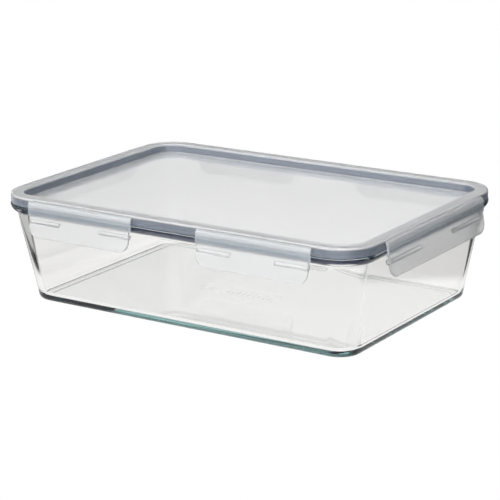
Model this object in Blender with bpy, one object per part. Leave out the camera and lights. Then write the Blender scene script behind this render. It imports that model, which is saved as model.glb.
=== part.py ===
"""Glass storage container: a heat-proof glass dish, a moulded lid with a silicone seal,
and locking clips that swing on living hinges along the lid's edge.

Frame: metres, +Z up, +X along the long side, -Y the front. The origin is the centre of
the foot's underside.

Sections are written as (out, z) pairs, where out is the distance outward from the lid's
outer edge, so a negative value lies inside that edge.
"""

import math

import bmesh
import bpy
from mathutils import Matrix, Vector

MM = 0.001

# Lid outline
LID_LENGTH = 311.0 * MM
LID_WIDTH = 211.3 * MM
LID_CORNER = 27.25 * MM
CORNER_STEPS = 8
SMOOTH_ANGLE = 32.0  # degrees, edges that turn further stay sharp

# Dish foot and floor
FOOT_RECESS = 0.8 * MM
FOOT_RECESS_RUN = 1.5 * MM  # width of the slope from the foot up to the recess
FOOT_WIDTH = 7.4 * MM
FOOT_FILLET = 4.0 * MM
FLOOR_TOP = 4.2 * MM
FLOOR_FILLET = 4.0 * MM

# Dish wall: a straight slope, placed by its outer face at WALL_HIGH_Z
WALL = 4.55 * MM
WALL_DRAFT = 0.159  # outward run for each unit of height
WALL_HIGH_Z = 66.0 * MM
WALL_MIDDLE_Z = 35.0 * MM
WALL_LOW_Z = 5.0 * MM
WALL_HIGH_OUT = -5.3 * MM
WALL_HIGH_CORNER = 20.4 * MM  # corner radius of the outer face at WALL_HIGH_Z
WALL_LOW_CORNER = 17.6 * MM  # and at WALL_LOW_Z
DISH_LEAST_CORNER = 4.0 * MM

# Dish flange
FLANGE_LOW = 69.9 * MM
FLANGE_TOP = 75.5 * MM
FLANGE_OUT = 0.5 * MM
FLANGE_TOP_R = 0.7 * MM
FLANGE_LOW_OUT = -3.1 * MM  # the flange's face leans in towards its lower edge
FLANGE_LOW_R = 1.0 * MM
FLANGE_INNER_OUT = -8.7 * MM
FLANGE_INNER_R = 1.8 * MM
FLANGE_ROOT_R = 1.6 * MM
FLANGE_ROOT_DROP = 0.1 * MM  # from FLANGE_LOW down to the top of the root fillet
# Leaning face: (distance in from FLANGE_OUT, height above FLANGE_LOW)
FLANGE_FACE = (
    (1.4 * MM, 1.65 * MM),
    (0.5 * MM, 3.1 * MM),
    (0.05 * MM, 4.5 * MM),
)

# Lid rim, with a lip hanging from its outer edge
LID_TOP = 83.4 * MM
LID_EDGE_R = 1.5 * MM
RIM_UNDER = 81.9 * MM
LIP_LOW = 75.85 * MM
LIP_THICK = 1.2 * MM
LIP_CHAMFER = 0.35 * MM

# Lid recess and the panel at its bottom
RECESS_TOP_OUT = -10.0 * MM
RECESS_TOP_R = 0.7 * MM
RECESS_LOW_OUT = -11.0 * MM
RECESS_LOW_R = 0.9 * MM
RECESS_BACK_OUT = -8.5 * MM  # where the back of the recess wall meets the rim
RECESS_BACK_CHAMFER = (0.45 * MM, 0.5 * MM)  # run, height
PANEL_TOP = 76.7 * MM
PANEL_LOW = 75.2 * MM
PANEL_OUT = -9.4 * MM
PANEL_EDGE_R = 1.0 * MM
PANEL_FLAT = 1.0 * MM  # flat border just inside the edge's rounding

# Seal: a band with a bead along each edge and a shallow groove between them
SEAL_OUT = -1.7 * MM
SEAL_IN = -8.5 * MM
SEAL_LOW = 75.8 * MM
SEAL_TOP = 81.6 * MM
SEAL_GROOVE = 1.1 * MM
SEAL_BEAD = 2.2 * MM
SEAL_BEAD_FLAT = 1.6 * MM  # the lower bead is flat as far as this from its edge
SEAL_TOP_SLOPE = 0.5 * MM
SEAL_TOP_CHAMFER = 0.3 * MM
SEAL_LOW_CHAMFER = 0.4 * MM

# Clip section
CLIP_FACE_OUT = 4.2 * MM
CLIP_WALL = 1.95 * MM
CLIP_ROOT_OUT = 2.1 * MM
CLIP_TOP = 82.4 * MM
CLIP_CREASE = 71.3 * MM  # below this height the tab leans outward for a fingertip
CLIP_LEAN = 0.158  # outward run for each unit of height below the crease
CLIP_LOW = 56.5 * MM

# Clip face
CLIP_CORNER = 8.0 * MM
CLIP_STEP = 1.2 * MM  # the leaning tab is this much shorter at each end
STEP_ABOVE = 0.9 * MM  # the step starts this far above the crease
STEP_BELOW = 0.3 * MM  # and ends this far below it
FACE_DEPTH = 40.0 * MM  # the face cutter reaches well past the clip on both sides
FACE_HEADROOM = 2.0 * MM

# Hooking ribs
RIB_TIP_OUT = 0.8 * MM
RIB_TOP = 68.9 * MM
RIB_LOW = 65.8 * MM
RIB_INSET = 1.5 * MM
RIB_CHAMFER = 0.3 * MM
RIB_TIP_LOW = RIB_TOP - 1.8 * MM
RIB_UNDERCUT = 1.1 * MM  # the rib's lower edge stands back this far from its tip
RIB_LOW_BITE = 0.4 * MM  # extra reach into the tab at the rib's lower edge

# Living hinges: a strip with the hinge axis through its middle
WEB_INNER_OUT = 0.3 * MM
WEB_OUTER_OUT = 1.8 * MM
WEB_LOW = RIM_UNDER
WEB_TOP = CLIP_TOP
WEB_INSET = 2.5 * MM
HINGE_OUT = (WEB_INNER_OUT + WEB_OUTER_OUT) / 2
HINGE_Z = (WEB_LOW + WEB_TOP) / 2

# Places of the clips: the hinge axes of the long and short sides
LONG_SIDE_CENTRE = 74.9 * MM
HINGE_X = LID_LENGTH / 2 + HINGE_OUT
HINGE_Y = LID_WIDTH / 2 + HINGE_OUT
# Side: (clip width, rib length, places), each place being (name, x, y, turn in degrees)
CLIP_SIDES = {
    "long_side": (
        93.4 * MM,
        27.0 * MM,
        (
            ("front_left", -LONG_SIDE_CENTRE, -HINGE_Y, 0),
            ("front_right", LONG_SIDE_CENTRE, -HINGE_Y, 0),
            ("back_left", -LONG_SIDE_CENTRE, HINGE_Y, 180),
            ("back_right", LONG_SIDE_CENTRE, HINGE_Y, 180),
        ),
    ),
    "short_side": (
        140.8 * MM,
        46.0 * MM,
        (("left", -HINGE_X, 0, -90), ("right", HINGE_X, 0, 90)),
    ),
}


# Scene and materials

def clear_scene():
    for obj in list(bpy.data.objects):
        bpy.data.objects.remove(obj, do_unlink=True)
    for mesh in list(bpy.data.meshes):
        bpy.data.meshes.remove(mesh)


def new_collection(name):
    made = bpy.data.collections.new(name)
    bpy.context.scene.collection.children.link(made)
    return made


def principled(name, colour, roughness, alpha=1.0, transmission=0.0, ior=1.45):
    made = bpy.data.materials.new(name)
    made.use_nodes = True
    shader = made.node_tree.nodes["Principled BSDF"]
    shader.inputs["Base Color"].default_value = (*colour, 1.0)
    shader.inputs["Roughness"].default_value = roughness
    shader.inputs["Metallic"].default_value = 0.0
    shader.inputs["Alpha"].default_value = alpha
    shader.inputs["Transmission Weight"].default_value = transmission
    shader.inputs["IOR"].default_value = ior
    made.diffuse_color = (*colour, alpha)
    return made


def clear_glass():
    return principled("clear_glass", colour=(0.86, 0.93, 0.92), roughness=0.02,
                      alpha=0.35, transmission=1.0, ior=1.47)


def lid_polypropylene():
    return principled("clear_polypropylene", colour=(0.86, 0.88, 0.90), roughness=0.28,
                      alpha=0.6, transmission=0.6, ior=1.49)


def clip_polypropylene():
    return principled("clip_polypropylene", colour=(0.84, 0.86, 0.87), roughness=0.34,
                      alpha=0.6, transmission=0.5, ior=1.49)


def hinge_polypropylene():
    return principled("hinge_polypropylene", colour=(0.88, 0.89, 0.90), roughness=0.38,
                      alpha=0.6, transmission=0.5, ior=1.49)


def slate_silicone():
    return principled("slate_silicone", colour=(0.095, 0.115, 0.15), roughness=0.55)


# Shape building

def arc(centre, radius, start, end, steps):
    """Points of a circular arc in a section, angles in degrees from the outward direction."""
    points = []
    for i in range(steps + 1):
        turn = math.radians(start + (end - start) * i / steps)
        points.append((centre[0] + radius * math.cos(turn), centre[1] + radius * math.sin(turn)))
    return points


def outline(out, z, corner):
    """One rounded rectangle, counter-clockwise seen from above."""
    centre_x = LID_LENGTH / 2 + out - corner
    centre_y = LID_WIDTH / 2 + out - corner
    points = []
    for side_x, side_y, start in ((1, -1, -90), (1, 1, 0), (-1, 1, 90), (-1, -1, 180)):
        for x, y in arc((side_x * centre_x, side_y * centre_y), corner,
                        start, start + 90, CORNER_STEPS):
            points.append(Vector((x, y, z)))
    return points


def loft(name, sections, ring=False):
    """A solid through rounded rectangles. A ring closes on itself, anything else is capped."""
    mesh = bpy.data.meshes.new(name)
    work = bmesh.new()
    rows = [[work.verts.new(point) for point in outline(*section)] for section in sections]
    pairs = list(zip(rows, rows[1:]))
    if ring:
        pairs.append((rows[-1], rows[0]))
    for low, high in pairs:
        for i in range(len(low)):
            j = (i + 1) % len(low)
            work.faces.new((low[i], low[j], high[j], high[i]))
    if not ring:
        work.faces.new(list(reversed(rows[0])))
        work.faces.new(rows[-1])
    work.normal_update()
    work.to_mesh(mesh)
    work.free()
    return mesh


def parallel_sections(profile):
    """Sections whose corners share their centres with the lid outline's corners."""
    return [(out, z, LID_CORNER + out) for out, z in profile]


def add_object(name, mesh, collection, material):
    obj = bpy.data.objects.new(name, mesh)
    collection.objects.link(obj)
    mesh.materials.clear()
    mesh.materials.append(material)
    mesh.shade_smooth()
    mesh.set_sharp_from_angle(angle=math.radians(SMOOTH_ANGLE))
    return obj


def plate(name, points, thickness, across, up, collection):
    """A flat outline with thickness, as a helper object. The outline's axes are across and up."""
    curve = bpy.data.curves.new(name, "CURVE")
    curve.dimensions = "2D"
    curve.fill_mode = "BOTH"
    curve.extrude = thickness / 2
    spline = curve.splines.new("POLY")
    spline.points.add(len(points) - 1)
    for point, (x, y) in zip(spline.points, points):
        point.co = (x, y, 0.0, 1.0)
    spline.use_cyclic_u = True
    drawn = bpy.data.objects.new(name + "_curve", curve)
    collection.objects.link(drawn)
    across, up = Vector(across), Vector(up)
    drawn.matrix_world = Matrix((across, up, across.cross(up))).transposed().to_4x4()
    mesh = evaluated_mesh(drawn)

    # The filled faces and the sides come as separate pieces, so join them into a solid
    work = bmesh.new()
    work.from_mesh(mesh)
    bmesh.ops.remove_doubles(work, verts=work.verts, dist=1e-6)
    bmesh.ops.recalc_face_normals(work, faces=work.faces)
    work.to_mesh(mesh)
    work.free()
    mesh.transform(drawn.matrix_world)
    bpy.data.objects.remove(drawn, do_unlink=True)
    bpy.data.curves.remove(curve)

    obj = bpy.data.objects.new(name, mesh)
    collection.objects.link(obj)
    obj.hide_render = True
    obj.display_type = "WIRE"
    return obj


def evaluated_mesh(obj):
    bpy.context.view_layer.update()
    graph = bpy.context.evaluated_depsgraph_get()
    return bpy.data.meshes.new_from_object(obj.evaluated_get(graph))


def add_boolean(base, other, operation):
    made = base.modifiers.new(operation.title(), "BOOLEAN")
    made.operation = operation
    made.solver = "EXACT"
    made.object = other


# Dish

def wall_outer(z):
    return WALL_HIGH_OUT + WALL_DRAFT * (z - WALL_HIGH_Z)


def wall_inner(z):
    return wall_outer(z) - WALL


def dish_corner(out, z):
    """Corner radius: parallel to the outline at the flange, with a gain that varies below it."""
    high_gain = WALL_HIGH_CORNER - (LID_CORNER + WALL_HIGH_OUT)
    low_gain = WALL_LOW_CORNER - (LID_CORNER + wall_outer(WALL_LOW_Z))
    if z > WALL_HIGH_Z:
        rise = (z - WALL_HIGH_Z) / (FLANGE_LOW - WALL_HIGH_Z)
        gain = high_gain * max(1.0 - rise, 0.0)
    else:
        fall = (WALL_HIGH_Z - z) / (WALL_HIGH_Z - WALL_LOW_Z)
        gain = high_gain + (low_gain - high_gain) * min(fall, 1.0)
    return max(LID_CORNER + out + gain, DISH_LEAST_CORNER)


def foot_profile():
    """From the recess under the floor, across the foot and round its outer fillet."""
    draft = math.atan(WALL_DRAFT)
    tangent_z = FOOT_FILLET * (1 - math.sin(draft))
    foot_out = wall_outer(tangent_z) - FOOT_FILLET * math.cos(draft)
    foot_inner = foot_out - FOOT_WIDTH
    return [
        (foot_inner - FOOT_RECESS_RUN, FOOT_RECESS),
        (foot_inner, 0.0),
        *arc((foot_out, FOOT_FILLET), FOOT_FILLET, -90, -math.degrees(draft), 5),
    ]


def flange_profile():
    """From the fillet under the flange, up its leaning face and over to the inside."""
    root_z = FLANGE_LOW - FLANGE_ROOT_R - FLANGE_ROOT_DROP
    root = (wall_outer(root_z) + FLANGE_ROOT_R, root_z)
    low = (FLANGE_LOW_OUT, FLANGE_LOW + FLANGE_LOW_R)
    top = (FLANGE_OUT - FLANGE_TOP_R, FLANGE_TOP - FLANGE_TOP_R)
    inner = (FLANGE_INNER_OUT + FLANGE_INNER_R, FLANGE_TOP - FLANGE_INNER_R)
    return [
        *arc(root, FLANGE_ROOT_R, 180, 90, 3),
        *arc(low, FLANGE_LOW_R, -90, -38, 2),
        *[(FLANGE_OUT - inward, FLANGE_LOW + above) for inward, above in FLANGE_FACE],
        *arc(top, FLANGE_TOP_R, 0, 90, 3),
        *arc(inner, FLANGE_INNER_R, 90, 180, 3),
    ]


def dish_mesh():
    fillet_z = FLOOR_TOP + FLOOR_FILLET
    fillet = (wall_inner(fillet_z) - FLOOR_FILLET, fillet_z)
    fillet_start = -math.degrees(math.atan(WALL_DRAFT)) / 2
    profile = [
        *foot_profile(),
        (wall_outer(WALL_MIDDLE_Z), WALL_MIDDLE_Z),
        *flange_profile(),
        (wall_inner(WALL_HIGH_Z), WALL_HIGH_Z),
        (wall_inner(WALL_MIDDLE_Z), WALL_MIDDLE_Z),
        *arc(fillet, FLOOR_FILLET, fillet_start, -90, 5),
    ]
    return loft("glass_dish", [(out, z, dish_corner(out, z)) for out, z in profile])


# Lid and seal

def lid_mesh():
    """From the panel's underside, out under the rim, round the lip and over into the recess."""
    panel_edge = (PANEL_OUT - PANEL_EDGE_R, PANEL_LOW + PANEL_EDGE_R)
    chamfer_run, chamfer_height = RECESS_BACK_CHAMFER
    lip_r = LIP_THICK / 2
    recess_top = (RECESS_TOP_OUT + RECESS_TOP_R, LID_TOP - RECESS_TOP_R)
    recess_low = (RECESS_LOW_OUT - RECESS_LOW_R, PANEL_TOP + RECESS_LOW_R)
    profile = [
        (panel_edge[0] - PANEL_FLAT, PANEL_LOW),
        *arc(panel_edge, PANEL_EDGE_R, -90, 0, 2),
        (RECESS_BACK_OUT - chamfer_run, RIM_UNDER - chamfer_height),
        (RECESS_BACK_OUT, RIM_UNDER),
        (-LIP_THICK - LIP_CHAMFER, RIM_UNDER),
        (-LIP_THICK, RIM_UNDER - LIP_CHAMFER),
        *arc((-lip_r, LIP_LOW + lip_r), lip_r, 180, 360, 4),
        *arc((-LID_EDGE_R, LID_TOP - LID_EDGE_R), LID_EDGE_R, 0, 90, 4),
        *arc(recess_top, RECESS_TOP_R, 90, 180, 2),
        *arc(recess_low, RECESS_LOW_R, 0, -90, 3),
    ]
    return loft("lid_panel", parallel_sections(profile))


def seal_mesh():
    # One half of the section, from the lower groove to the upper: (distance from edge, z)
    half = [
        (SEAL_BEAD, SEAL_LOW + SEAL_GROOVE),
        (SEAL_BEAD_FLAT, SEAL_LOW),
        (SEAL_LOW_CHAMFER, SEAL_LOW),
        (0.0, SEAL_LOW + SEAL_LOW_CHAMFER),
        (0.0, SEAL_TOP - SEAL_TOP_CHAMFER),
        (SEAL_TOP_CHAMFER, SEAL_TOP),
        (SEAL_BEAD, SEAL_TOP),
        (SEAL_BEAD + SEAL_TOP_SLOPE, SEAL_TOP - SEAL_GROOVE),
    ]
    profile = [(SEAL_OUT - inset, z) for inset, z in half]
    profile += [(SEAL_IN + inset, z) for inset, z in reversed(half)]
    return loft("seal_ring", parallel_sections(profile), ring=True)


# Clips, each in its own frame: outward is -Y and the origin is on the hinge axis

def from_hinge(points):
    return [(out - HINGE_OUT, z - HINGE_Z) for out, z in points]


def clip_lean(z):
    return CLIP_LEAN * (CLIP_CREASE - z)


def clip_section():
    """A curved shoulder, a strap past the flange and a leaning tab with a rounded end."""
    reach = CLIP_FACE_OUT - CLIP_ROOT_OUT
    shoulder = (CLIP_ROOT_OUT, CLIP_TOP - reach)
    end_r = CLIP_WALL / 2
    end_z = CLIP_LOW + end_r
    end = (CLIP_FACE_OUT + clip_lean(end_z) - end_r, end_z)
    return [
        *arc(shoulder, reach, 90, 0, 5),
        (CLIP_FACE_OUT, CLIP_CREASE),
        *arc(end, end_r, 0, -180, 6),
        (CLIP_FACE_OUT - CLIP_WALL, CLIP_CREASE),
        *arc(shoulder, reach - CLIP_WALL, 0, 90, 1),
    ]


def clip_face(half):
    """The clip seen from outside: stepped in at the crease, with rounded lower corners."""
    short = half - CLIP_STEP
    corner_x = short - CLIP_CORNER
    corner_z = CLIP_LOW - HINGE_Z + CLIP_CORNER
    top = CLIP_TOP - HINGE_Z + FACE_HEADROOM
    crease = CLIP_CREASE - HINGE_Z
    return [
        (-half, crease + STEP_ABOVE),
        (-short, crease - STEP_BELOW),
        *arc((-corner_x, corner_z), CLIP_CORNER, 180, 270, 6),
        *arc((corner_x, corner_z), CLIP_CORNER, 270, 360, 6),
        (short, crease - STEP_BELOW),
        (half, crease + STEP_ABOVE),
        (half, top),
        (-half, top),
    ]


def rib_section():
    """A hooking rib, rooted in the middle of the tab's wall."""
    root = CLIP_FACE_OUT - CLIP_WALL / 2 + clip_lean(RIB_TOP)
    return [
        (root, RIB_TOP),
        (RIB_TIP_OUT + RIB_CHAMFER, RIB_TOP),
        (RIB_TIP_OUT, RIB_TOP - RIB_CHAMFER),
        (RIB_TIP_OUT, RIB_TIP_LOW),
        (RIB_TIP_OUT + RIB_UNDERCUT, RIB_LOW),
        (root + RIB_LOW_BITE, RIB_LOW),
    ]


def clip_mesh(name, width, rib_length, helpers):
    """One clip: its section run along the width, trimmed to the face, with a rib at each end."""
    outward, up, along = (0, -1, 0), (0, 0, 1), (1, 0, 0)
    half = width / 2
    tab = plate(name + "_tab", from_hinge(clip_section()), width, outward, up, helpers)
    face = plate(name + "_face", clip_face(half), FACE_DEPTH, along, up, helpers)
    add_boolean(tab, face, "INTERSECT")
    for end, side in (("low", -1), ("high", 1)):
        rib = plate(f"{name}_rib_{end}", from_hinge(rib_section()), rib_length,
                    outward, up, helpers)
        rib.location.x = side * (half - RIB_INSET - rib_length / 2)
        add_boolean(tab, rib, "UNION")
    made = evaluated_mesh(tab)
    made.name = name
    return made


def web_mesh(name, width):
    """One living hinge: a thin strip between the lid's edge and a clip's shoulder."""
    mesh = bpy.data.meshes.new(name)
    work = bmesh.new()
    bmesh.ops.create_cube(work, size=1.0)
    size = (width, WEB_OUTER_OUT - WEB_INNER_OUT, WEB_TOP - WEB_LOW)
    bmesh.ops.scale(work, vec=size, verts=work.verts)
    work.to_mesh(mesh)
    work.free()
    return mesh


def add_clips(lid, parts, helpers):
    """The clips and their living hinges, sharing one mesh of each for each kind of side."""
    clip_material = clip_polypropylene()
    web_material = hinge_polypropylene()
    for side, (width, rib_length, places) in CLIP_SIDES.items():
        clip = clip_mesh(side + "_clip", width, rib_length, helpers)
        web = web_mesh(side + "_web", width - 2 * WEB_INSET)
        for place, x, y, turn in places:
            for obj in (
                add_object("clip_" + place, clip, parts, clip_material),
                add_object("living_hinge_" + place, web, parts, web_material),
            ):
                obj.location = (x, y, HINGE_Z)
                obj.rotation_euler = (0.0, 0.0, math.radians(turn))
                obj.parent = lid


def main():
    clear_scene()
    parts = new_collection("glass_storage_container")
    helpers = new_collection("cutters")
    add_object("glass_dish", dish_mesh(), parts, clear_glass())
    lid = add_object("lid_panel", lid_mesh(), parts, lid_polypropylene())
    seal = add_object("seal_ring", seal_mesh(), parts, slate_silicone())
    seal.parent = lid
    add_clips(lid, parts, helpers)


main()
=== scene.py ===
"""Looks for the glass storage container: a pressed glass dish, a clear lid with a silicone seal,
and six clips on living hinges, two on each long side and one on each short side.

It stands on z = 0 with its middle on the Z axis, its long sides along X and its front towards -Y.
Outlines are rounded rectangles, and "out" is how far one lies beyond the lid's edge."""

import math

import bmesh
import bpy
import numpy as np
from mathutils import Matrix, Vector


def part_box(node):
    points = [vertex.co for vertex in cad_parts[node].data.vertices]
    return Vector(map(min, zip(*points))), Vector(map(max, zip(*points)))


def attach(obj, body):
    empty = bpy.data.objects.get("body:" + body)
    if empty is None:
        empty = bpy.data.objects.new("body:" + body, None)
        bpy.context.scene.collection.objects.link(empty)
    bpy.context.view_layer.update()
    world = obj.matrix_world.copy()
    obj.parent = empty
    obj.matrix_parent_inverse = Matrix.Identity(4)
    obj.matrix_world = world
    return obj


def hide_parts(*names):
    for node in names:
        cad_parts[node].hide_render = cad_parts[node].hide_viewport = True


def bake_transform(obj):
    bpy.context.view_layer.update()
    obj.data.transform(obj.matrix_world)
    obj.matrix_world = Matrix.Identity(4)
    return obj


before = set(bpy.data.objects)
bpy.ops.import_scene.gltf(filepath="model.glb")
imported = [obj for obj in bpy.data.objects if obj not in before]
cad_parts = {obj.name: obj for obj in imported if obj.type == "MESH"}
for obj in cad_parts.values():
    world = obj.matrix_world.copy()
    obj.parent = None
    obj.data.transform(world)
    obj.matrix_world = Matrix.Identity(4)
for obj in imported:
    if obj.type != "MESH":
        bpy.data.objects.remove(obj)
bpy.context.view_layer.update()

MM = 0.001
PLACES = ("front_left", "front_right", "back_left", "back_right", "left", "right")

# ---------------------------------------------------------------- anchors from the frame
LID_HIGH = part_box("lid_panel")[1]
DISH_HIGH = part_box("glass_dish")[1]
SEAL_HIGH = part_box("seal_ring")[1]
HALF_X, HALF_Y = LID_HIGH.x, LID_HIGH.y
LID_TOP = LID_HIGH.z
FLANGE_TOP = DISH_HIGH.z
FLANGE_OUT = DISH_HIGH.x - LID_HIGH.x
SEAL_TOP = SEAL_HIGH.z
SEAL_OUT = SEAL_HIGH.x - LID_HIGH.x
LID_CORNER = 27.25 * MM

CORNER_STEPS = 26
SIDE_STEPS = 8


# ---------------------------------------------------------------- outlines and lofts
def arc(centre, radius, start, end, steps):
    """Points on an arc, with its angles in degrees."""
    angles = [math.radians(start + (end - start) * i / steps) for i in range(steps + 1)]
    return [(centre[0] + radius * math.cos(t), centre[1] + radius * math.sin(t)) for t in angles]


def offset_points(out, z, offsets):
    """Profile points at offsets in millimetres from one place."""
    return [(out + d_out * MM, z + d_z * MM) for d_out, d_z in offsets]


def outline(out, z, corner):
    """A rounded rectangle. Points near the ends of its sides keep them flat when shaded."""
    half_x, half_y = HALF_X + out, HALF_Y + out
    corner = min(corner, half_x - 1 * MM, half_y - 1 * MM)

    def on_corner(sign_x, sign_y, degrees):
        t = math.radians(degrees)
        return (
            sign_x * (half_x - corner) + corner * math.cos(t),
            sign_y * (half_y - corner) + corner * math.sin(t),
            z,
        )

    points = []
    corners = ((1, -1, -90), (1, 1, 0), (-1, 1, 90), (-1, -1, 180))  # x sign, y sign, first angle
    for k, (sign_x, sign_y, first) in enumerate(corners):
        for i in range(CORNER_STEPS + 1):
            points.append(on_corner(sign_x, sign_y, first + 90 * i / CORNER_STEPS))
        start = Vector(points[-1])
        end = Vector(on_corner(*corners[(k + 1) % 4]))
        length = (end - start).length
        near = min(1.5 * MM, length * 0.02) / length
        for f in [near] + [i / SIDE_STEPS for i in range(1, SIDE_STEPS)] + [1 - near]:
            points.append(tuple(start.lerp(end, f)))
    return points


def spread(profile, longest=9.0 * MM, near=0.5 * MM):
    """Adds points close to both ends of each long straight run of a profile, and along it."""
    points = [profile[0]]
    for start, end in zip(profile, profile[1:]):
        run = math.dist(start, end)
        if run > 3 * near:
            count = int(run // longest)
            stops = [near / run]
            stops += [i / (count + 1) for i in range(1, count + 1)]
            stops.append(1 - near / run)
            for f in stops:
                points.append(tuple(a + (b - a) * f for a, b in zip(start, end)))
        points.append(end)
    return points


def capped(sections, start_steps, end_steps):
    """Adds smaller rings at both ends of a run of sections, towards the middles of its caps."""

    def inset(section, steps):
        out, z, corner = section
        return [(out - step, z, max(corner - step * 0.6, 3 * MM)) for step in steps]

    start = list(reversed(inset(sections[0], start_steps)))
    return start + sections + inset(sections[-1], end_steps)


def make_mesh(name, verts, faces):
    mesh = bpy.data.meshes.new(name)
    mesh.from_pydata(verts, [], faces)
    return mesh


def loft(name, sections, closed=False, slots=None):
    """Joins outlines given as (out, z, corner). slots gives a material index for each band.

    A closed loft joins its last outline to its first. Any other gets two flat caps."""
    rows = [outline(*section) for section in sections]
    count = len(rows[0])
    bands = len(rows) if closed else len(rows) - 1
    slots = slots or [0] * bands
    faces, index = [], []
    for r in range(bands):
        a, b = r * count, ((r + 1) % len(rows)) * count
        for i in range(count):
            j = (i + 1) % count
            faces.append((a + i, a + j, b + j, b + i))
        index += [slots[r]] * count
    smooth = [True] * len(faces)
    if not closed:
        faces.append(tuple(reversed(range(count))))
        faces.append(tuple(range(bands * count, len(rows) * count)))
        index += [slots[0], slots[-1]]
        smooth += [False, False]
    mesh = make_mesh(name, [point for row in rows for point in row], faces)
    mesh.polygons.foreach_set("material_index", index)
    mesh.polygons.foreach_set("use_smooth", smooth)
    mesh.update()
    return mesh


def face_outwards(mesh):
    work = bmesh.new()
    work.from_mesh(mesh)
    bmesh.ops.recalc_face_normals(work, faces=work.faces)
    work.to_mesh(mesh)
    work.free()


def add(name, mesh, materials):
    """Links a new object and gives its mesh these materials, keeping each face's index."""
    obj = bpy.data.objects.new(name, mesh)
    bpy.context.scene.collection.objects.link(obj)
    slots = [0] * len(mesh.polygons)
    mesh.polygons.foreach_get("material_index", slots)
    mesh.materials.clear()
    for material in materials:
        mesh.materials.append(material)
    mesh.polygons.foreach_set("material_index", slots)
    return obj


def baked(obj):
    """The object's evaluated mesh, with its modifiers applied."""
    bpy.context.view_layer.update()
    graph = bpy.context.evaluated_depsgraph_get()
    return bpy.data.meshes.new_from_object(obj.evaluated_get(graph))


# ---------------------------------------------------------------- shader nodes
def feed(tree, node, inputs):
    """Sets a node's inputs, each to a plain value or to the socket that drives it."""
    for key, value in inputs.items():
        if isinstance(value, bpy.types.NodeSocket):
            tree.links.new(value, node.inputs[key])
        else:
            node.inputs[key].default_value = value


def add_node(tree, kind, inputs=None, **settings):
    node = tree.nodes.new(kind)
    for name, value in settings.items():
        setattr(node, name, value)
    feed(tree, node, inputs or {})
    return node


def noise(tree, scale, detail, roughness, stretch=(1, 1, 1)):
    """A noise texture over object coordinates, in cycles per metre."""
    where = add_node(tree, "ShaderNodeTexCoord").outputs["Object"]
    mapping = add_node(tree, "ShaderNodeMapping", {"Scale": stretch, "Vector": where})
    texture = {
        "Scale": scale,
        "Detail": detail,
        "Roughness": roughness,
        "Vector": mapping.outputs["Vector"],
    }
    return add_node(tree, "ShaderNodeTexNoise", texture).outputs["Fac"]


def map_range(tree, value, start, end, low, high, interpolation):
    inputs = {
        "From Min": start,
        "From Max": end,
        "To Min": low,
        "To Max": high,
        "Value": value,
    }
    node = add_node(tree, "ShaderNodeMapRange", inputs, interpolation_type=interpolation)
    return node.outputs["Result"]


def noise_range(tree, value, low, high):
    """Stretches the middle of a noise over low to high."""
    return map_range(tree, value, 0.3, 0.7, low, high, "LINEAR")


def smooth_step(tree, value, start, end, low=0.0, high=1.0):
    return map_range(tree, value, start, end, low, high, "SMOOTHSTEP")


def mix(tree, data_type, factor, a, b):
    inputs = {"A": a, "B": b, "Factor": factor}
    return add_node(tree, "ShaderNodeMix", inputs, data_type=data_type).outputs["Result"]


def tint(tree, value, low, high):
    """A colour that a noise moves between low and high."""
    return mix(tree, "RGBA", noise_range(tree, value, 0, 1), (*low, 1), (*high, 1))


def bump(tree, height, distance, before=None):
    inputs = {"Strength": 1.0, "Distance": distance, "Height": height}
    if before is not None:
        inputs["Normal"] = before
    return add_node(tree, "ShaderNodeBump", inputs).outputs["Normal"]


def calculate(tree, operation, *values):
    inputs = dict(enumerate(values))
    return add_node(tree, "ShaderNodeMath", inputs, operation=operation).outputs[0]


def multiply(tree, a, b):
    return calculate(tree, "MULTIPLY", a, b)


def axes(tree, vector):
    """The X, Y and Z outputs of a vector, by name."""
    return add_node(tree, "ShaderNodeSeparateXYZ", {"Vector": vector}).outputs


# ---------------------------------------------------------------- materials
def principled(name, base, roughness, ior, transmission, specular=0.5):
    material = bpy.data.materials.new(name)
    material.use_nodes = True
    tree = material.node_tree
    shader = tree.nodes["Principled BSDF"]
    inputs = {
        "Base Color": (*base, 1),
        "Roughness": roughness,
        "IOR": ior,
        "Transmission Weight": transmission,
        "Specular IOR Level": specular,
    }
    feed(tree, shader, inputs)
    return material, tree, shader


def glass_material():
    """Pressed oven glass: clear, blue-green through its depth, faintly wavy from pressing."""
    material, tree, shader = principled(
        "oven_glass", base=(1.0, 0.995, 0.99), roughness=0.0, ior=1.5, transmission=1.0
    )
    wave = noise(tree, scale=22, detail=1.5, roughness=0.4)
    fine = noise(tree, scale=160, detail=2.0, roughness=0.5)
    roughness = noise_range(tree, fine, low=0.0, high=0.012)
    wavy = bump(tree, wave, distance=0.04 * MM)
    normal = bump(tree, fine, distance=0.0012 * MM, before=wavy)
    feed(tree, shader, {"Roughness": roughness, "Normal": normal})
    depth = add_node(
        tree, "ShaderNodeVolumeAbsorption", {"Color": (0.36, 0.70, 0.69, 1), "Density": 9.0}
    )
    feed(tree, tree.nodes["Material Output"], {"Volume": depth.outputs["Volume"]})
    return material


def plastic(name, low, high, rough, transmission):
    """Moulded clear polypropylene: slightly milky, with a satin skin and a faint texture.

    low and high are the ends of its colour, and rough holds the ends of its roughness."""
    material, tree, shader = principled(
        name, base=high, roughness=rough[0], ior=1.49, transmission=transmission
    )
    cloud = noise(tree, scale=26, detail=2.0, roughness=0.5)
    skin = noise(tree, scale=900, detail=3.0, roughness=0.6)
    flow = noise(tree, scale=60, detail=3.0, roughness=0.5, stretch=(0.35, 0.35, 1.6))
    colour = tint(tree, cloud, low, high)
    roughness = noise_range(tree, flow, *rough)
    flowing = bump(tree, flow, distance=0.005 * MM)
    normal = bump(tree, skin, distance=0.0012 * MM, before=flowing)
    feed(tree, shader, {"Base Color": colour, "Roughness": roughness, "Normal": normal})
    return material


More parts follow.
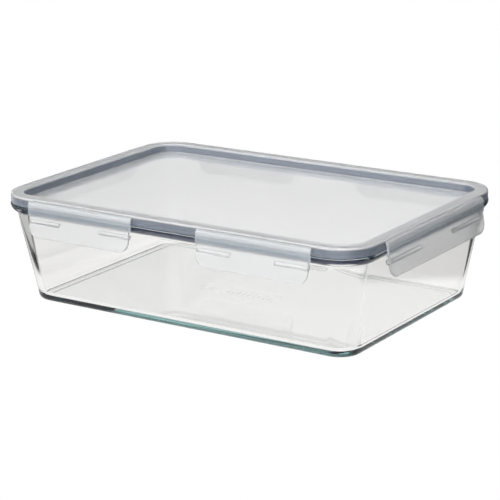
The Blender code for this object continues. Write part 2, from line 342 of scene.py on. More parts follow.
def clip_material():
    """The frosted clip: milkier where its shoulder is thick, and with a painted bluish shade just
    under it, where the dark seal and glass flange lie behind it.
    """
    material = plastic(
        "clip_polypropylene_skin_and_painted_shade",
        low=(0.885, 0.89, 0.895),
        high=(0.905, 0.91, 0.915),
        rough=(0.16, 0.20),
        transmission=0.80,
    )
    tree = material.node_tree
    shader = tree.nodes["Principled BSDF"]
    z = axes(tree, add_node(tree, "ShaderNodeTexCoord").outputs["Object"])["Z"]
    thick = smooth_step(tree, z, start=LID_TOP - 7.6 * MM, end=LID_TOP - 3.4 * MM)
    below_top = smooth_step(
        tree, z, start=LID_TOP - 3.2 * MM, end=LID_TOP - 1.8 * MM, low=1.0, high=0.0
    )
    milky = multiply(tree, thick, below_top)
    # the shoulder lets through up to 0.13 less than the rest
    transmission = calculate(tree, "SUBTRACT", 0.82, multiply(tree, milky, 0.13))
    # painted shade: a darker bluish tint below the shoulder, standing in for the dark seal and glass
    # flange seen through the clip
    band = smooth_step(tree, z, start=LID_TOP - 11.2 * MM, end=LID_TOP - 9.2 * MM)
    band = multiply(tree, band, calculate(tree, "SUBTRACT", 1.0, thick))
    plain = shader.inputs["Base Color"].links[0].from_socket
    colour = mix(tree, "RGBA", band, plain, (0.82, 0.88, 0.925, 1.0))
    feed(tree, shader, {"Transmission Weight": transmission, "Base Color": colour})
    return material


def silicone_material():
    material, tree, shader = principled(
        "slate_silicone_skin",
        base=(0.12, 0.135, 0.17),
        roughness=0.4,
        ior=1.42,
        transmission=0.0,
        specular=0.08,
    )
    cloud = noise(tree, scale=40, detail=2.0, roughness=0.5)
    skin = noise(tree, scale=1600, detail=4.0, roughness=0.65)
    colour = tint(tree, cloud, low=(0.004, 0.012, 0.042), high=(0.007, 0.017, 0.052))
    roughness = noise_range(tree, skin, low=0.28, high=0.42)
    normal = bump(tree, skin, distance=0.012 * MM)
    feed(tree, shader, {"Base Color": colour, "Roughness": roughness, "Normal": normal})
    return material


GLASS = glass_material()
RIM = plastic(
    "lid_rim_satin",
    low=(0.80, 0.797, 0.795),
    high=(0.84, 0.837, 0.835),
    rough=(0.12, 0.18),
    transmission=0.70,
)
PANEL = plastic(
    "lid_panel_clear",
    low=(0.955, 0.957, 0.958),
    high=(0.972, 0.973, 0.973),
    rough=(0.06, 0.09),
    transmission=0.79,
)
# its blue tint is a painted cool cast of the light, not the clear plastic's own colour
LID_WALL = plastic(
    "lid_wall_clear",
    low=(0.85, 0.91, 0.97),
    high=(0.88, 0.93, 0.98),
    rough=(0.05, 0.08),
    transmission=0.91,
)
# its blue tint is a painted cool cast of the light, not the clear plastic's own colour
SKIRT = plastic(
    "lid_skirt_clear",
    low=(0.84, 0.91, 0.985),
    high=(0.87, 0.93, 0.99),
    rough=(0.06, 0.09),
    transmission=0.87,
)
CLIP = clip_material()
# the hinge strip's darker grey is painted shade of the groove along the hinge, not a colour of its
# plastic
WEB = plastic(
    "hinge_polypropylene_painted_groove_shade",
    low=(0.62, 0.625, 0.64),
    high=(0.66, 0.665, 0.68),
    rough=(0.14, 0.2),
    transmission=0.78,
)
SILICONE = silicone_material()


# ---------------------------------------------------------------- glass dish
DISH_WALL = 4.55 * MM
FLOOR_TOP = 4.2 * MM
DRAFT = 0.159  # how far the wall leans out for each unit of height
WALL_MARK = 66 * MM  # the height at which the wall's place is given
WALL_OUT = -5.3 * MM
FLANGE_LOW = FLANGE_TOP - 5.6 * MM
FOOT_RECESS = 0.8 * MM
MARK_AT = (-0.001, -0.003)
GATE_AT = (0.1185, 0.0744)
# the flange's leaning side, as (out, z) in mm from its outer edge and its lower face
FLANGE_SIDE = ((-2.1, 0.9), (-1.4, 1.65), (-0.9, 2.4), (-0.5, 3.1), (-0.22, 3.8), (-0.05, 4.5))


def wall_at(z):
    return WALL_OUT + DRAFT * (z - WALL_MARK)


def dish_corner(out, z):
    """The corner radius: the lid's own, moved with the wall, and a gain that fades at the flange."""
    upper = 20.4 * MM - (LID_CORNER + wall_at(WALL_MARK))
    lower = 17.6 * MM - (LID_CORNER + wall_at(5 * MM))
    if z > WALL_MARK:
        gain = upper * max(1 - (z - WALL_MARK) / (FLANGE_LOW - WALL_MARK), 0)
    else:
        gain = upper + (lower - upper) * min((WALL_MARK - z) / (61 * MM), 1)
    return max(LID_CORNER + out + gain, 4 * MM)


def inner_wall_at(z):
    return wall_at(z) - DISH_WALL


def dish_profile():
    """From the middle of the underside, out, up, over the flange and down the inside."""
    draft = math.degrees(math.atan(DRAFT))
    fillet = 4.0 * MM
    tangent = fillet * (1 - math.sin(math.radians(draft)))
    foot = wall_at(tangent) - fillet * math.cos(math.radians(draft))
    foot_inner = foot - 7.4 * MM
    points = offset_points(foot_inner, FOOT_RECESS, ((-22, 0), (-1.7, 0), (-1.3, -0.08)))
    points += offset_points(foot_inner, 0.0, ((-0.25, 0.07), (0.1, 0.0)))
    points += arc((foot, fillet), fillet, -90, -draft, 16)
    root = 1.6 * MM
    root_z = FLANGE_LOW - root - 0.1 * MM
    points += arc((wall_at(root_z) + root, root_z), root, 180, 90, 9)
    # the flange leans in towards its lower edge and has a small round at the top
    low_round = 1.0 * MM
    centre = (FLANGE_OUT - 2.6 * MM - low_round, FLANGE_LOW + low_round)
    points += arc(centre, low_round, -90, -38, 6)
    points += offset_points(FLANGE_OUT, FLANGE_LOW, FLANGE_SIDE)
    top_round = 0.28 * MM
    points += arc((FLANGE_OUT - top_round, FLANGE_TOP - top_round), top_round, 0, 90, 6)
    lip, mouth_out = 1.8 * MM, -8.7 * MM
    points += arc((mouth_out + lip, FLANGE_TOP - lip), lip, 90, 165, 7)
    inner_top = 68.5 * MM
    points.append((inner_wall_at(inner_top), inner_top))
    floor_round = 4 * MM
    low = FLOOR_TOP + floor_round
    floor_out = inner_wall_at(low) - floor_round
    points += arc((floor_out, low), floor_round, -draft / 2, -90, 16)
    points.append((floor_out - 24 * MM, FLOOR_TOP))
    return [(out, z, dish_corner(out, z)) for out, z in spread(points)]


RELIEF_TOP = FOOT_RECESS + 0.5 * MM  # inside the glass
RELIEF_HEIGHT = 0.45 * MM  # how far a mark stands down from the recess


def relief_bar(name, x, y, length, width):
    depth = RELIEF_HEIGHT + 0.5 * MM
    work = bmesh.new()
    bmesh.ops.create_cube(work, size=1.0)
    bmesh.ops.scale(work, vec=(length, width, depth), verts=work.verts)
    bmesh.ops.translate(work, vec=(x, y, RELIEF_TOP - depth / 2), verts=work.verts)
    mesh = bpy.data.meshes.new(name)
    work.to_mesh(mesh)
    work.free()
    return mesh


def relief_ring(name, x, y, radius_x, radius_y, width, steps=40):
    verts, faces = [], []
    low, high = FOOT_RECESS - RELIEF_HEIGHT, RELIEF_TOP
    grow = width / 2
    for i in range(steps):
        t = 2 * math.pi * i / steps
        for d, z in ((grow, low), (grow, high), (-grow, high), (-grow, low)):
            verts.append((x + (radius_x + d) * math.cos(t), y + (radius_y + d) * math.sin(t), z))
        a, b = 4 * i, 4 * ((i + 1) % steps)
        for k in range(4):
            m = (k + 1) % 4
            faces.append((a + k, b + k, b + m, a + m))
    mesh = make_mesh(name, verts, faces)
    face_outwards(mesh)
    return mesh


def add_relief(dish):
    """Joins moulded marks under the floor: two rings, a row of bars between two long bars,
    and the small gate mark of pressing."""
    x, y = MARK_AT
    shapes = [
        (relief_ring, x - 34 * MM, y, 6 * MM, 6 * MM, 0.9 * MM),
        (relief_ring, x - 34 * MM, y, 3.2 * MM, 3.2 * MM, 0.8 * MM),
        (relief_bar, x + 5 * MM, y + 7 * MM, 46 * MM, 0.9 * MM),
        (relief_bar, x + 5 * MM, y - 7 * MM, 46 * MM, 0.9 * MM),
    ]
    shapes += [(relief_bar, x + (-14 + 4.6 * k) * MM, y, 0.9 * MM, 7.5 * MM) for k in range(9)]
    shapes.append((relief_ring, *GATE_AT, 4.2 * MM, 2.2 * MM, 0.7 * MM))
    group = bpy.data.collections.new("relief")
    marks = []
    for k, (shape, *sizes) in enumerate(shapes):
        mark = bpy.data.objects.new(f"relief_{k}", shape(f"relief_{k}", *sizes))
        bpy.context.scene.collection.objects.link(mark)
        group.objects.link(mark)
        marks.append(mark)
    join = dish.modifiers.new("relief", "BOOLEAN")
    join.operation = "UNION"
    join.operand_type = "COLLECTION"
    join.collection = group
    join.solver = "EXACT"
    mesh = baked(dish)
    for face in mesh.polygons:
        if abs(face.normal.z) > 0.999 and face.center.z < FLOOR_TOP + 0.1 * MM:
            face.use_smooth = False
    mesh.set_sharp_from_angle(angle=math.radians(40))
    dish.modifiers.clear()
    plain = dish.data
    dish.data = mesh
    bpy.data.meshes.remove(plain)
    for mark in marks:
        bpy.data.objects.remove(mark, do_unlink=True)
    bpy.data.collections.remove(group)


def build_dish():
    sections = capped(dish_profile(), (22 * MM, 44 * MM), (22 * MM, 40 * MM))
    dish = add("dish_oven_glass", loft("dish_oven_glass", sections), [GLASS])
    add_relief(dish)
    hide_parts("glass_dish")
    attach(dish, "dish")


# ---------------------------------------------------------------- lid
def lid_profile():
    """From the middle of the panel's underside, out under the rim, round it and back on top."""
    top = LID_TOP
    rim_under = top - 1.5 * MM
    skirt_low = FLANGE_TOP + 0.35 * MM
    skirt = 1.2 * MM
    panel_top = top - 6.7 * MM
    panel_low = panel_top - 1.5 * MM
    points = [(-40 * MM, panel_low), (-11.4 * MM, panel_low)]
    points += arc((-10.4 * MM, panel_low + 1.0 * MM), 1.0 * MM, -90, 0, 6)
    points += arc((-9.15 * MM + 0.65 * MM, rim_under - 0.65 * MM), 0.65 * MM, 180, 90, 5)
    points += offset_points(-skirt, rim_under, ((-0.3, 0), (-0.09, -0.09), (0, -0.3)))
    points += offset_points(-skirt, skirt_low, ((0, 0.4),))
    points += arc((-skirt + 0.4 * MM, skirt_low + 0.4 * MM), 0.4 * MM, 190, 270, 4)
    points += arc((-0.45 * MM, skirt_low + 0.45 * MM), 0.45 * MM, 270, 350, 4)
    edge = 1.5 * MM
    points += arc((-edge, top - edge), edge, 0, 90, 10)
    # a fine step line runs round the rim near its outer edge
    points += offset_points(0, top, ((-2.6, 0), (-2.75, -0.12), (-3.05, -0.12), (-3.2, 0)))
    points += arc((-10.0 * MM + 1.25 * MM, top - 1.25 * MM), 1.25 * MM, 90, 174, 10)
    points += arc((-11.0 * MM - 0.9 * MM, panel_top + 0.9 * MM), 0.9 * MM, 6, -90, 8)
    points.append((-40 * MM, panel_top))
    return points


def lid_slot(out, z):
    """The material slot for a band of the lid whose middle is at (out, z)."""
    if out < -11.05 * MM:
        return 1  # panel
    if out < -9.8 * MM or (out < -8.4 * MM and z < LID_TOP - 1.6 * MM):
        return 2  # wall round the panel
    if out > -1.25 * MM and z < LID_TOP - 1.95 * MM:
        return 3  # skirt
    return 0  # rim


def build_lid():
    sections = [(out, z, max(LID_CORNER + out, 3 * MM)) for out, z in spread(lid_profile())]
    sections = capped(sections, (20 * MM, 40 * MM), (20 * MM, 40 * MM))
    slots = [
        lid_slot((a[0] + b[0]) / 2, (a[1] + b[1]) / 2) for a, b in zip(sections, sections[1:])
    ]
    mesh = loft("lid_moulding", sections, slots=slots)
    lid = add("lid_moulding", mesh, [RIM, PANEL, LID_WALL, SKIRT])
    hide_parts("lid_panel")
    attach(lid, "lid")


# ---------------------------------------------------------------- seal
def seal_profile():
    """Round the seal's section: up its outer face, over two beads and down its inner leg."""
    out, inner = SEAL_OUT, SEAL_OUT - 6.8 * MM
    low = FLANGE_TOP + 0.3 * MM - 0.33 * MM  # pressed slightly into the glass
    top = SEAL_TOP
    bead, groove = 2.2 * MM, 1.1 * MM
    side_round, bead_round = 0.45 * MM, 0.4 * MM
    # a thin foot reaches out under the skirt
    points = offset_points(0, low, ((-0.3, 0), (-0.14, 0.08), (-0.14, 0.2), (-0.35, 0.3)))
    points += arc((out + 0.2 * MM, low + 0.5 * MM), 0.2 * MM, 270, 180, 3)
    # a shallow band runs round the outer face
    points += offset_points(out, low, ((0, 2.1), (-0.14, 2.3), (-0.14, 2.6), (0, 2.8)))
    points += arc((out - side_round, top - side_round), side_round, 0, 90, 5)
    points += arc((out - bead + bead_round, top - bead_round), bead_round, 90, 170, 4)
    points.append((out - bead - 0.5 * MM, top - groove))
    points.append((inner + bead + 0.5 * MM, top - groove))
    points += arc((inner + bead - bead_round, top - bead_round), bead_round, 10, 90, 4)
    points += arc((inner + side_round, top - side_round), side_round, 90, 180, 5)
    # the inner leg is pressed over the glass mouth's rounded edge and ends just inside it
    points.append((inner, FLANGE_TOP + 0.9 * MM))
    leg = ((-8.75, 0.4), (-9.2, -0.3), (-9.75, -1.0), (-9.98, -2.0))
    points += offset_points(0, FLANGE_TOP, leg)
    points += arc((-9.4 * MM, FLANGE_TOP - 2.5 * MM), 0.5 * MM, 190, 330, 6)
    points += arc((-6.9 * MM, FLANGE_TOP - 1.8 * MM), 1.77 * MM, 165, 90, 8)
    return points


def build_seal():
    points = seal_profile()
    points = spread(points + [points[0]])[:-1]
    sections = [(out, z, LID_CORNER + out) for out, z in points]
    seal = add("silicone_seal", loft("silicone_seal", sections, closed=True), [SILICONE])
    seal.data.set_sharp_from_angle(angle=math.radians(50))
    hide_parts("seal_ring")
    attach(seal, "lid")


# ---------------------------------------------------------------- clips
# A clip and its hinge are made in their own frame: the origin is on the hinge axis,
# x runs along it, -y points outwards and z is up.
HINGE_OUT, HINGE_Z = 1.05 * MM, LID_TOP - 1.25 * MM
FACE_OUT, CLIP_WALL = 4.2 * MM, 1.95 * MM
WALL_MIDDLE = FACE_OUT - CLIP_WALL / 2
CLIP_TOP = LID_TOP - 1.0 * MM
CLIP_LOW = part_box("clip_right")[0].z
CREASE = LID_TOP - 12.1 * MM  # the tab leans outwards below this height
LEAN = 0.158
CLIP_CORNER = 8.0 * MM
CLIP_STEP = 1.2 * MM  # how much each side steps in at the crease
CLIP_FILLET = 0.55 * MM
RIB_TIP, RIB_TOP, RIB_LOW, RIB_INSET = 0.8 * MM, 68.9 * MM, 65.8 * MM, 1.5 * MM
LONG_SIDE_WIDTH, SHORT_SIDE_WIDTH = 93.4 * MM, 140.8 * MM
LONG_SIDE_RIB, SHORT_SIDE_RIB = 27 * MM, 46 * MM
CLIP_SHARP = math.radians(38)
# distances in mm from a clip's side edge to its first columns of points
EDGE_COLUMNS = (0.0, 0.03, 0.09, 0.17, 0.27, 0.40, 0.56, 0.9, 1.6, 3.0)


def clip_path():
    """The middle of the tab's wall from the hinge side down to its lower edge, as (out, z)."""
    tight, wide, joint = 1.125 * MM, 8.0 * MM, 24  # two radii and the angle where they meet
    cos_joint, sin_joint = math.cos(math.radians(joint)), math.sin(math.radians(joint))
    reach = WALL_MIDDLE - wide * (1 - cos_joint) - tight * cos_joint
    points = arc((reach, CLIP_TOP - CLIP_WALL / 2 - tight), tight, 90, joint, 22)
    centre = (points[-1][0] - wide * cos_joint, points[-1][1] - wide * sin_joint)
    points += arc(centre, wide, joint, 0, 18)[1:]
    turn = 0.5 * MM
    start = (WALL_MIDDLE, CREASE + turn)
    bend = (WALL_MIDDLE, CREASE)
    end = (WALL_MIDDLE + LEAN * turn, CREASE - turn)
    points.append(start)
    for i in range(1, 8):
        f = i / 8
        points.append(
            tuple(
                (1 - f) ** 2 * start[k] + 2 * f * (1 - f) * bend[k] + f * f * end[k]
                for k in (0, 1)
            )
        )
    points.append(end)
    points.append((WALL_MIDDLE + LEAN * (CREASE - CLIP_LOW), CLIP_LOW))
    return np.array(points)


PATH = clip_path()
# the distance along the path at each of its points
ALONG = np.concatenate([[0], np.cumsum(np.linalg.norm(np.diff(PATH, axis=0), axis=1))])
PATH_END = ALONG[-1]


def path_at(s):
    """The (out, z) point at a distance along the path."""
    return float(np.interp(s, ALONG, PATH[:, 0])), float(np.interp(s, ALONG, PATH[:, 1]))


def along_to(z):
    """The distance along the path at a height."""
    return float(np.interp(-z, -PATH[:, 1], ALONG))


CREASE_AT = along_to(CREASE)


def half_width(half, s):
    """Half the clip's width at a distance along the path."""
    short = half - CLIP_STEP
    if s <= CREASE_AT - 0.9 * MM:
        return half
    if s <= CREASE_AT + 0.3 * MM:
        f = (s - CREASE_AT + 0.9 * MM) / (1.2 * MM)
        f = f * f * (3 - 2 * f)
        return half + (short - half) * f
    left = PATH_END - s
    if left < CLIP_CORNER:
        return short - CLIP_CORNER + math.sqrt(max(CLIP_CORNER**2 - (CLIP_CORNER - left) ** 2, 0))
    return short


def clip_stations():
    """Distances along the path for the rows of points, closest where the tab bends."""
    shoulder = along_to(CLIP_TOP - 4.9 * MM)
    pitch = 2.2 * MM
    near_crease = (-1.2, -0.9, -0.7, -0.5, -0.3, -0.1, 0.1, 0.3, 0.6, 1.2)
    stops = {0.0, 0.3 * MM}
    stops |= {shoulder * i / 24 for i in range(25)}
    stops |= set(np.arange(shoulder + 0.8 * MM, CREASE_AT - 1.2 * MM, pitch))
    stops |= {CREASE_AT + d * MM for d in near_crease}
    stops |= set(np.arange(CREASE_AT + 2.4 * MM, PATH_END - CLIP_CORNER, pitch))
    stops |= {PATH_END - CLIP_CORNER * (1 - math.cos(math.radians(a))) for a in range(0, 91, 5)}
    stops |= {PATH_END - d * MM for d in (0.06, 0.2, 0.35, 0.55)}
    stops = sorted(stops)
    kept = [stops[0]]
    for s in stops[1:]:
        if s - kept[-1] > 0.02 * MM:
            kept.append(s)
    return kept


def clip_edge(half):
    """Half the flattened clip's outline, open along the hinge, as (x, distance) points."""
    corner_x, corner_s = half - CLIP_STEP - CLIP_CORNER, PATH_END - CLIP_CORNER
    edge = [(half_width(half, s), s) for s in np.linspace(0, corner_s, 60)]
    edge += arc((corner_x, corner_s), CLIP_CORNER, 3, 90, 29)
    edge.append((0.0, PATH_END))
    return np.array(edge)


def columns(half):
    """Places across a row of points, closest at its two ends."""
    close = [c * MM for c in EDGE_COLUMNS]
    inner = half - close[-1]
    middle = list(np.linspace(-inner, inner, 17))[1:-1]
    return [-half + c for c in close] + middle + [half - c for c in reversed(close)]


def from_hinge(x, out, z):
    """A point in the clip's own frame."""
    return (x, -(out - HINGE_OUT), z - HINGE_Z)


def strip_mesh(name, loops, flip_end):
    """Joins closed loops of points, each one row out and a second row back, and caps both ends.

    flip_end reverses the last cap's faces before all faces are turned outwards."""
    size = len(loops[0])
    faces = []
    for r in range(len(loops) - 1):
        a, b = r * size, (r + 1) * size
        for i in range(size):
            j = (i + 1) % size
            faces.append((a + i, b + i, b + j, a + j))
    for base, flip in ((0, False), ((len(loops) - 1) * size, flip_end)):
        for i in range(size // 2 - 1):
            quad = (base + i, base + i + 1, base + size - 2 - i, base + size - 1 - i)
            faces.append(tuple(reversed(quad)) if flip else quad)
    mesh = make_mesh(name, [point for loop in loops for point in loop], faces)
    face_outwards(mesh)
    return mesh


def tab_mesh(name, width):
    """The clip's bent tab, rounded along its free edges."""
    half = width / 2
    edge = clip_edge(half)
    start, step = edge[:-1], edge[1:] - edge[:-1]

    def from_edge(x, s):
        point = np.array([abs(x), s])
        t = ((point - start) * step).sum(1) / np.maximum((step * step).sum(1), 1e-18)
        t = np.clip(t, 0, 1)
        return float(np.min(np.linalg.norm(start + step * t[:, None] - point, axis=1)))

    loops = []
    for s in clip_stations():
        out, z = path_at(s)
        out_before, z_before = path_at(max(s - 0.15 * MM, 0))
        out_after, z_after = path_at(min(s + 0.15 * MM, PATH_END))
        d_out, d_z = out_after - out_before, z_after - z_before
        size = math.hypot(d_out, d_z)
        normal_out, normal_z = -d_z / size, d_out / size
        outer, inner = [], []
        for x in columns(half_width(half, s)):
            d = min(from_edge(x, s), CLIP_FILLET)
            drop = math.sqrt(max(CLIP_FILLET**2 - (CLIP_FILLET - d) ** 2, 0))
            t = CLIP_WALL / 2 - CLIP_FILLET + drop
            outer.append(from_hinge(x, out + normal_out * t, z + normal_z * t))
            inner.append(from_hinge(x, out - normal_out * t, z - normal_z * t))
        loops.append(outer + list(reversed(inner)))
    return strip_mesh(name, loops, flip_end=True)


def hook_mesh(middle, length):
    """A rib on the tab's inner face."""
    root = WALL_MIDDLE + LEAN * (CREASE - RIB_TOP)
    section = (
        (root, RIB_TOP),
        (RIB_TIP, RIB_TOP),
        (RIB_TIP, RIB_TOP - 1.8 * MM),
        (RIB_TIP + 1.1 * MM, RIB_LOW),
        (root + 0.4 * MM, RIB_LOW),
    )
    ends = (middle - length / 2, middle + length / 2)
    verts = [from_hinge(x, out, z) for x in ends for out, z in section]
    k = len(section)
    faces = [tuple(range(k)), tuple(reversed(range(k, 2 * k)))]
    faces += [(i, i + k, (i + 1) % k + k, (i + 1) % k) for i in range(k)]
    mesh = make_mesh("hook", verts, faces)
    face_outwards(mesh)
    return mesh


def clip_mesh(name, width, rib_length):
    """The tab with its two hooks joined on."""
    tab = add(name + "_tab", tab_mesh(name, width), [CLIP])
    hooks = []
    for side in (-1, 1):
        middle = side * (width / 2 - RIB_INSET - rib_length / 2)
        hook = add(f"{name}_hook_{side}", hook_mesh(middle, rib_length), [CLIP])
        rounded = hook.modifiers.new("edges", "BEVEL")
        rounded.width = 0.3 * MM
        rounded.segments = 4
        rounded.limit_method = "ANGLE"
        hooks.append(hook)
        join = tab.modifiers.new("hook", "BOOLEAN")
        join.operation = "UNION"
        join.solver = "EXACT"
        join.object = hook
    mesh = baked(tab)
    mesh.name = name
    mesh.shade_smooth()
    mesh.set_sharp_from_angle(angle=CLIP_SHARP)
    for obj in hooks + [tab]:
        bpy.data.objects.remove(obj, do_unlink=True)
    return mesh


def web_mesh(name, width):
    """The living hinge: a strip, thinnest along its middle, made of several rows of points."""
    start, end = -0.06 * MM, 1.58 * MM
    rows = 16
    top = HINGE_Z + 0.25 * MM
    across = np.linspace(-width / 2, width / 2, 25)
    loops = []
    for i in range(rows + 1):
        f = i / rows
        out = start + (end - start) * f
        low = top - (0.5 * MM - 0.22 * MM * math.sin(math.pi * f) ** 2)
        upper = [from_hinge(x, out, top) for x in across]
        loops.append(upper + [from_hinge(x, out, low) for x in reversed(across)])
    mesh = strip_mesh(name, loops, flip_end=False)
    mesh.shade_smooth()
    mesh.set_sharp_from_angle(angle=CLIP_SHARP)
    return mesh


def build_clip(place, source, width):
    """Places one clip and its hinge strip at the lid's edge."""
    low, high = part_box("clip_" + place)
    middle = (low + high) / 2
    if place in ("left", "right"):
        sign = 1 if middle.x > 0 else -1
        axis = Vector((sign * (HALF_X + HINGE_OUT), 0, HINGE_Z))
        turn, outward = 90 * sign, Vector((sign, 0, 0))
    else:
        sign = 1 if middle.y > 0 else -1
        axis = Vector((middle.x, sign * (HALF_Y + HINGE_OUT), HINGE_Z))
        turn, outward = 0 if sign < 0 else 180, Vector((0, sign, 0))
    placing = Matrix.Translation(axis) @ Matrix.Rotation(math.radians(turn), 4, "Z")

    mesh = source.copy()
    mesh.transform(placing)
    clip = add("clip_moulding_" + place, mesh, [CLIP])
    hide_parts("clip_" + place)
    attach(clip, "clip_" + place)

    web = web_mesh("hinge_strip_" + place, width - 5 * MM)
    web.transform(placing)
    strip = add("hinge_strip_" + place, web, [WEB])
    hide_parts("living_hinge_" + place)
    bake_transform(strip)


def build_clips():
    long_side = clip_mesh("long_side_clip", LONG_SIDE_WIDTH, LONG_SIDE_RIB)
    short_side = clip_mesh("short_side_clip", SHORT_SIDE_WIDTH, SHORT_SIDE_RIB)
    for place in PLACES:
        if place in ("left", "right"):
            build_clip(place, short_side, SHORT_SIDE_WIDTH)
        else:
            build_clip(place, long_side, LONG_SIDE_WIDTH)


# ---------------------------------------------------------------- stage, light and camera
CAMERA_AT = (0.75660289, -1.12942965, 0.42883463)
CAMERA_AZIMUTH, CAMERA_ELEVATION, CAMERA_ROLL = 33.798375, 16.115914, 0.8917  # degrees
TOWARDS_CAMERA = -1.0  # the sign of z towards the camera, in the shader's camera space

# the table's shade round the foot: its outline in from the lid's edge, and its corner radius
FOOT_INSET, FOOT_CORNER = 17.0 * MM, 17.0 * MM
# where that shade rises and fades, as distances out from the outline, and its depth
FOOT_RISE = dict(start=-0.012, end=-0.004)
FOOT_FADE = dict(start=0.003, end=0.012, low=1.0, high=0.0)
FOOT_DEPTH = 0.0
# brightness by the height of the direction, near the camera, behind the object and overhead
HORIZON_NEAR = dict(start=0.02, end=0.16, low=0.10, high=1.0)
HORIZON_BEHIND = dict(start=0.10, end=0.50, low=0.10, high=1.0)
CEILING = dict(start=0.55, end=0.97, low=1.0, high=0.95)
# the softbox's direction in camera space, and its glow by the cosine of the angle from it
SOFTBOX_TOWARDS = (-0.42, 0.42, TOWARDS_CAMERA * 0.8)
SOFTBOX_GLOW = dict(start=0.30, end=0.8, low=0.0, high=1.8)
# a square panel on the camera's axis, by the slope of the direction away from that axis
PANEL_GLOW = dict(start=0.15, end=0.17, low=0.94, high=0.0)
# (place across the view, brightness): 0.5 is the view's middle, 0.37 and 0.63 are its edges
FLOOR_STOPS = (
    (0.10, 0.45), (0.335, 0.55), (0.344, 0.03), (0.358, 0.03), (0.368, 0.96),
    (0.5, 0.98), (0.628, 0.96), (0.638, 0.03), (0.85, 0.02), (0.95, 0.1),
)
# (the direction's lean to the camera's side, brightness): 0 is full left and 1 is full right
WORLD_STOPS = (
    (0.0, 0.05), (0.06, 0.08), (0.14, 0.95), (0.5, 1.02), (0.70, 0.92), (0.80, 0.22), (1.0, 0.12),
)


def add_camera():
    azimuth, elevation = math.radians(CAMERA_AZIMUTH), math.radians(CAMERA_ELEVATION)
    roll = math.radians(CAMERA_ROLL)
    data = bpy.data.cameras.new("camera")
    data.sensor_width = 36
    data.lens = 135.6138
    data.clip_start, data.clip_end = 0.05, 60
    obj = bpy.data.objects.new("camera", data)
    bpy.context.scene.collection.objects.link(obj)
    level = math.cos(elevation)
    back = Vector((math.sin(azimuth) * level, -math.cos(azimuth) * level, math.sin(elevation)))
    level_right = (-back).cross(Vector((0, 0, 1))).normalized()
    level_up = level_right.cross(-back)
    right = level_right * math.cos(roll) - level_up * math.sin(roll)
    up = level_right * math.sin(roll) + level_up * math.cos(roll)
    turn = Matrix((right, up, back)).transposed().to_4x4()
    obj.matrix_world = Matrix.Translation(CAMERA_AT) @ turn
    bpy.context.scene.camera = obj


def white_if_seen(tree, data_type, other, white):
    """White for the camera itself, and the other value for light that meets the object."""
    seen = add_node(tree, "ShaderNodeLightPath").outputs["Is Camera Ray"]
    return mix(tree, data_type, seen, other, white)


def light_inputs(tree, strength, cast):
    return {
        "Strength": white_if_seen(tree, "FLOAT", strength, 1.0),
        "Color": white_if_seen(tree, "RGBA", (*cast, 1), (1, 1, 1, 1)),
    }


def curve(tree, value, stops):
    """A smooth curve through (value, result) stops, for a value from 0 to 1."""
    node = add_node(tree, "ShaderNodeValToRGB", {"Fac": value})
    node.color_ramp.interpolation = "EASE"
    elements = node.color_ramp.elements
    while len(elements) > 1:
        elements.remove(elements[-1])
    elements[0].position = stops[0][0]
    elements[0].color = (stops[0][1],) * 3 + (1,)
    for place, result in stops[1:]:
        elements.new(place).color = (result, result, result, 1)
    return node.outputs["Color"]


def camera_space(tree, vector, kind):
    turned = add_node(
        tree,
        "ShaderNodeVectorTransform",
        {"Vector": vector},
        vector_type=kind,
        convert_from="WORLD",
        convert_to="CAMERA",
    )
    return axes(tree, turned.outputs["Vector"])


def foot_shade(tree, position):
    """How much of the table's light the foot's shade takes away."""
    spot = axes(tree, position)
    past, squares = [], []
    for axis, half in (("X", HALF_X), ("Y", HALF_Y)):
        distance = calculate(tree, "ABSOLUTE", spot[axis])
        distance = calculate(tree, "SUBTRACT", distance, half - FOOT_INSET - FOOT_CORNER)
        past.append(calculate(tree, "MAXIMUM", distance, 0.0))
    squares = [multiply(tree, side, side) for side in past]
    reach = calculate(tree, "SQRT", calculate(tree, "ADD", *squares))
    edge = calculate(tree, "SUBTRACT", reach, FOOT_CORNER)
    rising = smooth_step(tree, edge, **FOOT_RISE)
    falling = smooth_step(tree, edge, **FOOT_FADE)
    return multiply(tree, multiply(tree, rising, falling), FOOT_DEPTH)


def floor_material():
    """A lit white table with dark flags just outside the view, at the camera's left and right."""
    material = bpy.data.materials.new("pale_floor")
    material.use_nodes = True
    tree = material.node_tree
    tree.nodes.clear()
    position = add_node(tree, "ShaderNodeNewGeometry").outputs["Position"]
    seen = camera_space(tree, position, "POINT")
    ratio = calculate(tree, "DIVIDE", seen["X"], calculate(tree, "ABSOLUTE", seen["Z"]))
    shade = curve(tree, calculate(tree, "ADD", ratio, 0.5), FLOOR_STOPS)
    dark = foot_shade(tree, position)
    shade = multiply(tree, shade, calculate(tree, "SUBTRACT", 1.0, dark))
    inputs = light_inputs(tree, shade, cast=(1.0, 0.972, 0.965))
    light = add_node(tree, "ShaderNodeEmission", inputs)
    add_node(tree, "ShaderNodeOutputMaterial", {"Surface": light.outputs[0]})
    material.cycles.emission_sampling = "NONE"
    return material


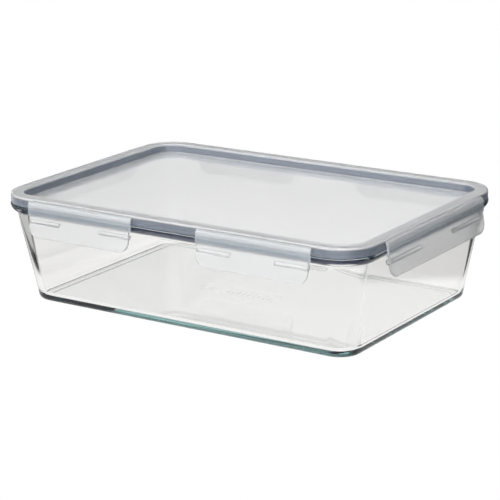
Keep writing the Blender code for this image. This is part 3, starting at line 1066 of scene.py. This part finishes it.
def set_world():
    """A soft white tent, dark at its far left and right and dim at the horizon, with a bright
    panel on the camera's axis and a softbox high on the camera's left."""
    studio = bpy.data.worlds.new("studio")
    bpy.context.scene.world = studio
    studio.use_nodes = True
    tree = studio.node_tree
    direction = add_node(tree, "ShaderNodeTexCoord").outputs["Generated"]
    height = axes(tree, direction)["Z"]
    seen = camera_space(tree, direction, "VECTOR")
    x, y, z = seen["X"], seen["Y"], seen["Z"]

    lean = calculate(tree, "ADD", multiply(tree, x, 0.5), 0.5)
    shade = curve(tree, lean, WORLD_STOPS)
    behind = smooth_step(tree, multiply(tree, z, -TOWARDS_CAMERA), start=-0.3, end=0.2)
    near_rise = smooth_step(tree, height, **HORIZON_NEAR)
    far_rise = smooth_step(tree, height, **HORIZON_BEHIND)
    far_part = multiply(tree, far_rise, behind)
    near_part = multiply(tree, near_rise, calculate(tree, "SUBTRACT", 1.0, behind))
    rise = calculate(tree, "ADD", far_part, near_part)
    shade = multiply(tree, shade, rise)
    shade = multiply(tree, shade, smooth_step(tree, height, **CEILING))

    joined = add_node(tree, "ShaderNodeCombineXYZ", {0: x, 1: y, 2: z}).outputs[0]
    towards = Vector(SOFTBOX_TOWARDS).normalized()
    lamp = add_node(
        tree, "ShaderNodeVectorMath", {0: joined, 1: towards}, operation="DOT_PRODUCT"
    )
    glow = smooth_step(tree, lamp.outputs["Value"], **SOFTBOX_GLOW)
    shade = calculate(tree, "ADD", shade, multiply(tree, glow, rise))

    sideways = calculate(tree, "ABSOLUTE", x)
    upwards = calculate(tree, "ABSOLUTE", y)
    widest = calculate(tree, "MAXIMUM", sideways, upwards)
    slope = calculate(tree, "DIVIDE", widest, calculate(tree, "ABSOLUTE", z))
    shade = calculate(tree, "MAXIMUM", shade, smooth_step(tree, slope, **PANEL_GLOW))
    feed(tree, tree.nodes["Background"], light_inputs(tree, shade, cast=(0.975, 0.99, 1.0)))
    studio.cycles.sampling_method = "NONE"


def add_floor(half=12.0):
    corners = [(-half, -half, 0), (half, -half, 0), (half, half, 0), (-half, half, 0)]
    floor = add("floor", make_mesh("floor", corners, [(0, 1, 2, 3)]), [floor_material()])
    floor.location.z = -0.2 * MM  # just clear of the foot


def set_render():
    scene = bpy.context.scene
    scene.view_settings.view_transform = "Standard"
    scene.view_settings.look = "None"
    cycles = scene.cycles
    cycles.max_bounces = 40
    cycles.transmission_bounces = 40
    cycles.glossy_bounces = 24
    cycles.diffuse_bounces = 4
    cycles.transparent_max_bounces = 24
    cycles.caustics_reflective = True
    cycles.caustics_refractive = True
    cycles.blur_glossy = 0.0
    cycles.use_denoising = True


build_dish()
build_lid()
build_seal()
build_clips()
add_camera()
set_world()
add_floor()
set_render()
